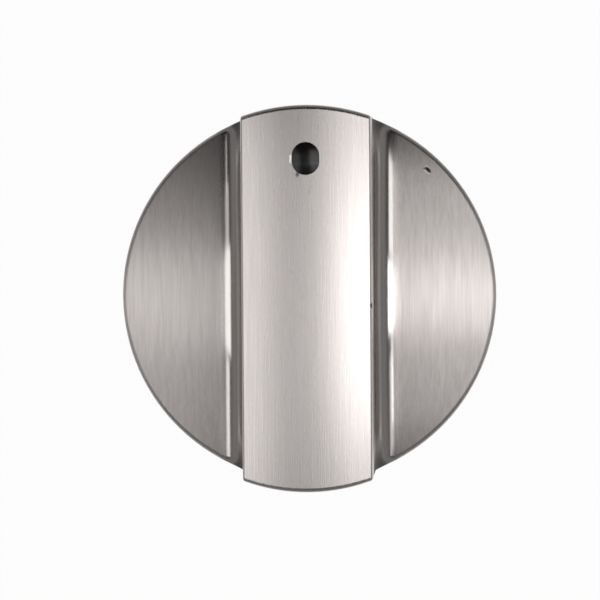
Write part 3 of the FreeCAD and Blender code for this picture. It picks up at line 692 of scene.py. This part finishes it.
# Finish of the casting

ALONG_BAR = (0.0, 1.0, 0.0)

# Zones of the face, by distance from the bar's middle plane
BAR_END = 7.3 * MM
FOOT_START = 7.5 * MM
FOOT_END = 9.2 * MM
WING_START = 11 * MM

# What the belt brushes: the faces that lie up, and the flanks, which face aside near the bar
BELT_LIFT = (0.14, 0.5)
FLANK_TILT = (0.6, 0.9)
FLANK_REACH = (9.5 * MM, 8.5 * MM)

# Brush lines: the noise, how much broader and longer the broad ones are, and their roughness and relief
FINE_DETAIL = 3.0
FINE_ROUGHNESS = 0.6
FINE_SHARE = 0.6
BROAD_DETAIL = 2.0
BROADER = 3
LONGER = 2
SHINE_RANGE = (0.25, 0.75)
SHINE_CHANGE = (1.06, 0.95)
LINE_STRENGTH = 0.11
LINE_DEPTH = 0.012 * MM

# Dark masks: how far the one over the nick spreads past it, turn, length and width of the other spots, and
# the painted shade in the foot's corners
NICK_LONGER = 1.15
NICK_WIDER = 1.5
EDGE_SPOT = (math.radians(90), 0.8 * MM, 0.5 * MM)
EDGE_HEIGHT = (22.4 * MM, 23.4 * MM)
DOT_DARK_SPOT = (math.radians(78), 0.9 * MM, 0.6 * MM)
DOT_DARK_SHARE = 0.65
CORNER_ENDS = (15.5 * MM, 20 * MM)
CORNER_LIFT = (0.9, 0.6)
CORNER_REACH = (11 * MM, 10 * MM)
CORNER_HEIGHT = (9 * MM, 9.8 * MM)
CORNER_SHARE = 0.8
MARK_AND_SHADE_ROUGHNESS = 0.8


def brush_lines(graph, coords, finish):
    """Noise drawn out along the bar: the fine lines, and a shade in which broader lines join them."""
    across, along = 1 / finish.streak_width, 1 / finish.streak_length
    fine = graph.noise(coords, (across, along, across), FINE_DETAIL, FINE_ROUGHNESS)
    broad = graph.noise(coords, (across / BROADER, along / LONGER, across / BROADER), BROAD_DETAIL)
    return fine, graph.ramp(graph.mix(FINE_SHARE, broad, fine), *GRAIN_RANGE)


def mask_marks_and_shade(graph, coords, lift, wear):
    """Mask the dark patch over the nick, the dark mark on the knocked edge, the dark spot beside the dot, and
    the painted shade where the feet run out.
    """
    x, y, height = graph.split(coords)
    reach, ends = graph.math("ABSOLUTE", x), graph.math("ABSOLUTE", y)
    nick = graph.spot(coords, wear.nick_place, wear.nick_turn,
                      NICK_LONGER * wear.nick_length, NICK_WIDER * wear.nick_width)
    edge = graph.product(graph.spot(coords, wear.edge_place, *EDGE_SPOT), graph.ramp(height, *EDGE_HEIGHT))
    # Dark spot below and left of the dot
    dot_dark_spot = graph.product(graph.spot(coords, wear.dot_dark_spot_place, *DOT_DARK_SPOT), DOT_DARK_SHARE)
    # Painted shade: darkens the corners where the feet run out by the rim at the bar's ends
    corner = graph.product(
        graph.ramp(ends, *CORNER_ENDS), graph.ramp(lift, *CORNER_LIFT),
        graph.ramp(reach, BAR_END, FOOT_START), graph.ramp(reach, *CORNER_REACH),
        graph.ramp(height, *CORNER_HEIGHT), CORNER_SHARE)
    return graph.largest(nick, edge, dot_dark_spot, corner)


def satin_metal(finish, wear):
    """Plated metal, brushed along the bar where a belt reaches it and plain on the upright sides, whose
    darker plate colour is painted shade.
    """
    material, graph = new_material("satin_metal")
    coords = graph.coords()
    normal = graph.add("ShaderNodeNewGeometry").outputs["Normal"]
    tilt, _, lift = graph.split(normal)
    aside = graph.math("ABSOLUTE", tilt)
    reach = graph.math("ABSOLUTE", graph.split(coords)["X"])
    flank = graph.product(graph.ramp(aside, *FLANK_TILT), graph.ramp(reach, *FLANK_REACH))
    brushed = graph.largest(graph.ramp(lift, *BELT_LIFT), flank)
    foot = graph.ramp(reach, BAR_END, FOOT_START)
    wing = graph.ramp(reach, FOOT_END, WING_START)
    fine, shade = brush_lines(graph, coords, finish)
    deep = graph.blend(wing, finish.metal_dark, finish.wing_dark)
    # Faces outside the brushed mask take the darker plate colour, which is painted shade
    tone = graph.blend(brushed, finish.plate, graph.blend(shade, deep, finish.metal))
    mean = graph.mix(wing, graph.mix(foot, finish.roughness, finish.foot_roughness), finish.wing_roughness)
    rough = graph.product(mean, graph.ramp(fine, *SHINE_RANGE, *SHINE_CHANGE))
    # One mask for the dark marks and the painted shade in the feet's corners; it turns the metal into a dark
    # rough coat
    marks_and_shade = mask_marks_and_shade(graph, coords, lift, wear)
    shader = graph.add("ShaderNodeBsdfPrincipled", {
        "Base Color": graph.blend(marks_and_shade, tone, wear.grime_and_shade),
        "Metallic": graph.math("SUBTRACT", 1.0, marks_and_shade),
        "Roughness": graph.mix(marks_and_shade, rough, MARK_AND_SHADE_ROUGHNESS),
        "Anisotropic": finish.anisotropy,
        "Normal": graph.relief(fine, LINE_STRENGTH, LINE_DEPTH),
        "Tangent": graph.vector("CROSS_PRODUCT", ALONG_BAR, normal),
    })
    finish_material(graph, shader)
    return material


def cast_metal(finish):
    """Dull unbrushed die casting with a fine grain and flow marks."""
    return mottled(
        "cast_metal", (finish.cast_dark, finish.cast), metallic=1.0,
        cloud_scale=(260, 260, 420), cloud_detail=3.0,
        grain_scale=(4500, 4500, 4500), grain_detail=4.0, grain_roughness=0.6,
        roughness=(0.5, 0.68), relief_strength=0.4, relief_depth=0.03 * MM)


class KNOB_OT_casting(bpy.types.Operator):
    """Make the metal casting with its brushed front and plain cast back"""

    bl_idname = "knob.casting"
    bl_label = "Casting"

    def execute(self, context):
        finish = context.scene.knob_finish
        wear = context.scene.knob_wear
        form, exact = merged_copy("knob_body")
        front = outside_faces(form)
        for face in form.faces:
            face.material_index = 0 if face in front else 1
        close_dish(form, exact)
        true_up(front, exact)
        press_nick(form, exact, wear)
        mesh = finish_mesh(form, exact, "knob_casting")
        materials = [satin_metal(finish, wear), cast_metal(finish)]
        place_piece("knob_casting", mesh, "knob_body", materials)
        return {"FINISHED"}


# Dot

HAZE_SCALE = (3000, 3000, 3000)
HAZE_DETAIL = 3.0
GLOSS_ROUGHNESS = (0.22, 0.27)


def gloss_black(finish):
    """Polished black plastic."""
    material, graph = new_material("gloss_black")
    haze = graph.noise(graph.coords(), HAZE_SCALE, HAZE_DETAIL)
    rough = graph.ramp(haze, *GRAIN_RANGE, *GLOSS_ROUGHNESS)
    shader = graph.add("ShaderNodeBsdfPrincipled", {"Base Color": (*finish.dot, 1), "Roughness": rough})
    finish_material(graph, shader)
    return material


class KNOB_OT_dot(bpy.types.Operator):
    """Finish the indicator dot"""

    bl_idname = "knob.dot"
    bl_label = "Indicator dot"

    def execute(self, context):
        finish = context.scene.knob_finish
        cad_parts["indicator_dot"].material_slots[0].material = gloss_black(finish)
        return {"FINISHED"}


# Hub and clip


def black_nylon(finish):
    """Moulded nylon with a fine matt grain."""
    return mottled(
        "black_nylon", (finish.nylon, finish.nylon_pale),
        cloud_scale=(300, 300, 300), cloud_detail=2.0,
        grain_scale=(5200, 5200, 5200), grain_detail=3.0, grain_roughness=0.6,
        roughness=(0.42, 0.6), relief_strength=0.3, relief_depth=0.02 * MM)


def spring_steel(finish):
    """Blued strip with rolling marks round the band."""
    return mottled(
        "spring_steel", (finish.spring, finish.spring_straw), metallic=1.0,
        cloud_scale=(160, 160, 160), cloud_detail=2.0,
        grain_scale=(220, 220, 9000), grain_detail=3.0, grain_roughness=0.6,
        roughness=(0.26, 0.42), relief_strength=0.25, relief_depth=0.01 * MM)


class KNOB_OT_hub(bpy.types.Operator):
    """Finish the moulded hub and its spring clip"""

    bl_idname = "knob.hub"
    bl_label = "Hub and clip"

    def execute(self, context):
        finish = context.scene.knob_finish
        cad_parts["shaft_hub"].material_slots[0].material = black_nylon(finish)
        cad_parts["hub_spring_clip"].material_slots[0].material = spring_steel(finish)
        return {"FINISHED"}


# Screws

# Noise of the film, steps round a screw, its head's edge and its thread's ridge, and the recess's taper
FILM_SCALE = (700, 700, 700)
FILM_DETAIL = 3.0
ROUND_STEPS = 40
HEAD_STEPS = 8
RIDGE_STEPS = 3
RECESS_TAPER = 0.55

# Inputs of the screws' nodes, and the settings that fill them
SCREW_INPUTS = {
    "Ear Offset": "ear_offset",
    "Seat Height": "seat_height",
    "Length": "length",
    "Shank Radius": "shank_radius",
    "Thread Depth": "thread_depth",
    "Thread Pitch": "thread_pitch",
    "Point Length": "point_length",
}


def zinc_plate(finish):
    """Bright plated steel with a cloudy passivated film."""
    return mottled(
        "zinc_plate", (finish.screw_film, finish.screw), metallic=1.0,
        cloud_scale=FILM_SCALE, cloud_detail=FILM_DETAIL,
        grain_scale=FILM_SCALE, grain_detail=FILM_DETAIL, roughness=(0.34, 0.22))


def lathe(form, profile, steps):
    """Turn a profile of radius and height about Z, closed where it meets the axis."""
    turns = [2 * math.pi * step / steps for step in range(steps)]
    circle = [(math.cos(turn), math.sin(turn)) for turn in turns]
    rings = []
    for radius, height in profile:
        if radius == 0:
            rings.append([form.verts.new((0, 0, height))])
        else:
            rings.append([form.verts.new((radius * x, radius * y, height)) for x, y in circle])
    for lower, upper in zip(rings, rings[1:]):
        for step in range(steps):
            corners = ((lower, step), (lower, step + 1), (upper, step + 1), (upper, step))
            nearby = [ring[index % len(ring)] for ring, index in corners]
            form.faces.new(list(dict.fromkeys(nearby)))
    bmesh.ops.recalc_face_normals(form, faces=form.faces)


def form_object(form, name):
    """Turn a form into an object."""
    mesh = bpy.data.meshes.new(name)
    form.to_mesh(mesh)
    form.free()
    return add_object(name, mesh)


def baked_mesh(obj, name):
    """Return an object's evaluated shape as a plain mesh."""
    bpy.context.view_layer.update()
    mesh = bpy.data.meshes.new_from_object(obj.evaluated_get(bpy.context.evaluated_depsgraph_get()))
    mesh.name = name
    return mesh


def pan_head(screw):
    """A plain pan head, its seat at the origin and its face towards -Z."""
    form = bmesh.new()
    bend, rim, depth = screw.head_round, screw.head_radius, screw.head_height
    turns = [math.radians(90 * step / HEAD_STEPS) for step in range(HEAD_STEPS + 1)]
    pan = [(rim - bend + bend * math.sin(turn), bend - depth - bend * math.cos(turn)) for turn in turns]
    lathe(form, [(0, -depth), *pan, (rim, 0), (0, 0)], ROUND_STEPS)
    return form_object(form, "screw_head")


def cross_recess(screw):
    """The shape that cuts a head's recess: two crossed blocks that taper inwards from its face."""
    form = bmesh.new()
    span, arm = screw.recess_span, screw.recess_width
    for length, width in ((span, arm), (arm, span)):
        for vert in bmesh.ops.create_cube(form, size=1)["verts"]:
            taper = RECESS_TAPER if vert.co.z > 0 else 1
            vert.co = Vector((vert.co.x * length * taper, vert.co.y * width * taper,
                              vert.co.z * 2 * screw.recess_depth - screw.head_height))
    return form_object(form, "recess")


def screw_head_mesh(screw):
    """A pan head with a cross recess."""
    head, cutter = pan_head(screw), cross_recess(screw)
    cut = head.modifiers.new("cross", "BOOLEAN")
    cut.object = cutter
    cut.use_self = True
    cut.solver = "EXACT"
    mesh = baked_mesh(head, "screw_head")
    for obj in (head, cutter):
        bpy.data.objects.remove(obj)
    return mesh


def threaded_shank(graph, given):
    """Nodes of the shank, its point and the thread that winds round it, from the seat up."""
    core = graph.math("SUBTRACT", given["Shank Radius"], given["Thread Depth"])
    plain = graph.math("SUBTRACT", given["Length"], given["Point Length"])
    shank = graph.add("GeometryNodeMeshCylinder", {"Vertices": ROUND_STEPS, "Radius": core, "Depth": plain})
    point = graph.add("GeometryNodeMeshCone", {
        "Vertices": ROUND_STEPS, "Radius Top": 0.0, "Radius Bottom": core, "Depth": given["Point Length"]})
    helix = graph.add("GeometryNodeCurveSpiral", {
        "Resolution": ROUND_STEPS, "Rotations": graph.math("DIVIDE", plain, given["Thread Pitch"]),
        "Start Radius": core, "End Radius": core, "Height": plain})
    ridge = graph.add("GeometryNodeCurvePrimitiveCircle", {
        "Resolution": RIDGE_STEPS, "Radius": given["Thread Depth"]})
    thread = graph.add("GeometryNodeCurveToMesh", {
        "Curve": helix.outputs["Curve"], "Profile Curve": ridge.outputs["Curve"], "Fill Caps": True})
    return (graph.moved(shank.outputs["Mesh"], graph.product(plain, 0.5)),
            graph.moved(point.outputs["Mesh"], plain), thread.outputs["Mesh"])


def screw_tree():
    """Nodes that add a threaded shank to a head and set the screw at both ears of the hub."""
    tree = bpy.data.node_groups.new("hub_screws", "GeometryNodeTree")
    tree.interface.new_socket("Geometry", in_out="OUTPUT", socket_type="NodeSocketGeometry")
    tree.interface.new_socket("Head", in_out="INPUT", socket_type="NodeSocketGeometry")
    for name in SCREW_INPUTS:
        tree.interface.new_socket(name, in_out="INPUT", socket_type="NodeSocketFloat")
    tree.interface.new_socket("Material", in_out="INPUT", socket_type="NodeSocketMaterial")
    graph = Graph(tree)
    given = graph.add("NodeGroupInput").outputs
    screw = graph.add("GeometryNodeJoinGeometry")
    for part in (given["Head"], *threaded_shank(graph, given)):
        tree.links.new(part, screw.inputs[0])
    ear = graph.add("ShaderNodeCombineXYZ", {"Y": given["Ear Offset"], "Z": given["Seat Height"]})
    opposite = graph.add("ShaderNodeCombineXYZ", {
        "Y": graph.product(given["Ear Offset"], -1.0), "Z": given["Seat Height"]})
    seats = graph.add("GeometryNodeMeshLine", {
        "Count": 2, "Start Location": ear.outputs[0], "Offset": opposite.outputs[0]}, mode="END_POINTS")
    pair = graph.add("GeometryNodeInstanceOnPoints", {
        "Points": seats.outputs["Mesh"], "Instance": screw.outputs[0]})
    plain_mesh = graph.add("GeometryNodeRealizeInstances", {0: pair.outputs[0]})
    coated = graph.add("GeometryNodeSetMaterial", {0: plain_mesh.outputs[0], "Material": given["Material"]})
    graph.add("NodeGroupOutput", {0: coated.outputs[0]})
    return tree


class KNOB_OT_screws(bpy.types.Operator):
    """Make the two screws that hold the hub"""

    bl_idname = "knob.screws"
    bl_label = "Screws"

    def execute(self, context):
        screw = context.scene.knob_screw
        carrier = add_object("screw_maker", screw_head_mesh(screw))
        maker = carrier.modifiers.new("hub_screws", "NODES")
        maker.node_group = screw_tree()
        values = {label: getattr(screw, name) for label, name in SCREW_INPUTS.items()}
        values["Material"] = zinc_plate(context.scene.knob_finish)
        for socket in maker.node_group.interface.items_tree:
            if socket.name in values:
                maker[socket.identifier] = values[socket.name]
        mesh = baked_mesh(carrier, "threaded_screws")
        bpy.data.objects.remove(carrier)
        mesh.shade_smooth()
        mesh.set_sharp_from_angle(angle=SHARP_ANGLE)
        place_piece("threaded_screws", mesh, "hub_screws", [])
        return {"FINISHED"}


# Panel and registration


class KNOB_PT_panel(bpy.types.Panel):
    """Lists the knob's settings and the steps that make it"""

    bl_idname = "KNOB_PT_panel"
    bl_label = "Oven control knob"
    bl_space_type = "VIEW_3D"
    bl_region_type = "UI"
    bl_category = "Knob"

    def draw(self, context):
        layout = self.layout
        for group in (getattr(context.scene, name) for name in GROUPS):
            for setting in group.__annotations__:
                layout.prop(group, setting)
        for step in STEPS:
            layout.operator(step.bl_idname)


GROUPS = {
    "knob_finish": KnobFinish,
    "knob_wear": KnobWear,
    "knob_screw": KnobScrew,
    "knob_stage": KnobStage,
}
STEPS = (KNOB_OT_stage, KNOB_OT_casting, KNOB_OT_dot, KNOB_OT_hub, KNOB_OT_screws)
CLASSES = (*GROUPS.values(), *STEPS, KNOB_PT_panel)


def register():
    for item in CLASSES:
        bpy.utils.register_class(item)
    for name, group in GROUPS.items():
        setattr(bpy.types.Scene, name, PointerProperty(type=group))


def unregister():
    for name in GROUPS:
        delattr(bpy.types.Scene, name)
    for item in reversed(CLASSES):
        bpy.utils.unregister_class(item)


def main():
    register()
    bpy.ops.knob.stage()
    bpy.ops.knob.casting()
    bpy.ops.knob.dot()
    bpy.ops.knob.hub()
    bpy.ops.knob.screws()


if __name__ == "__main__":
    main()
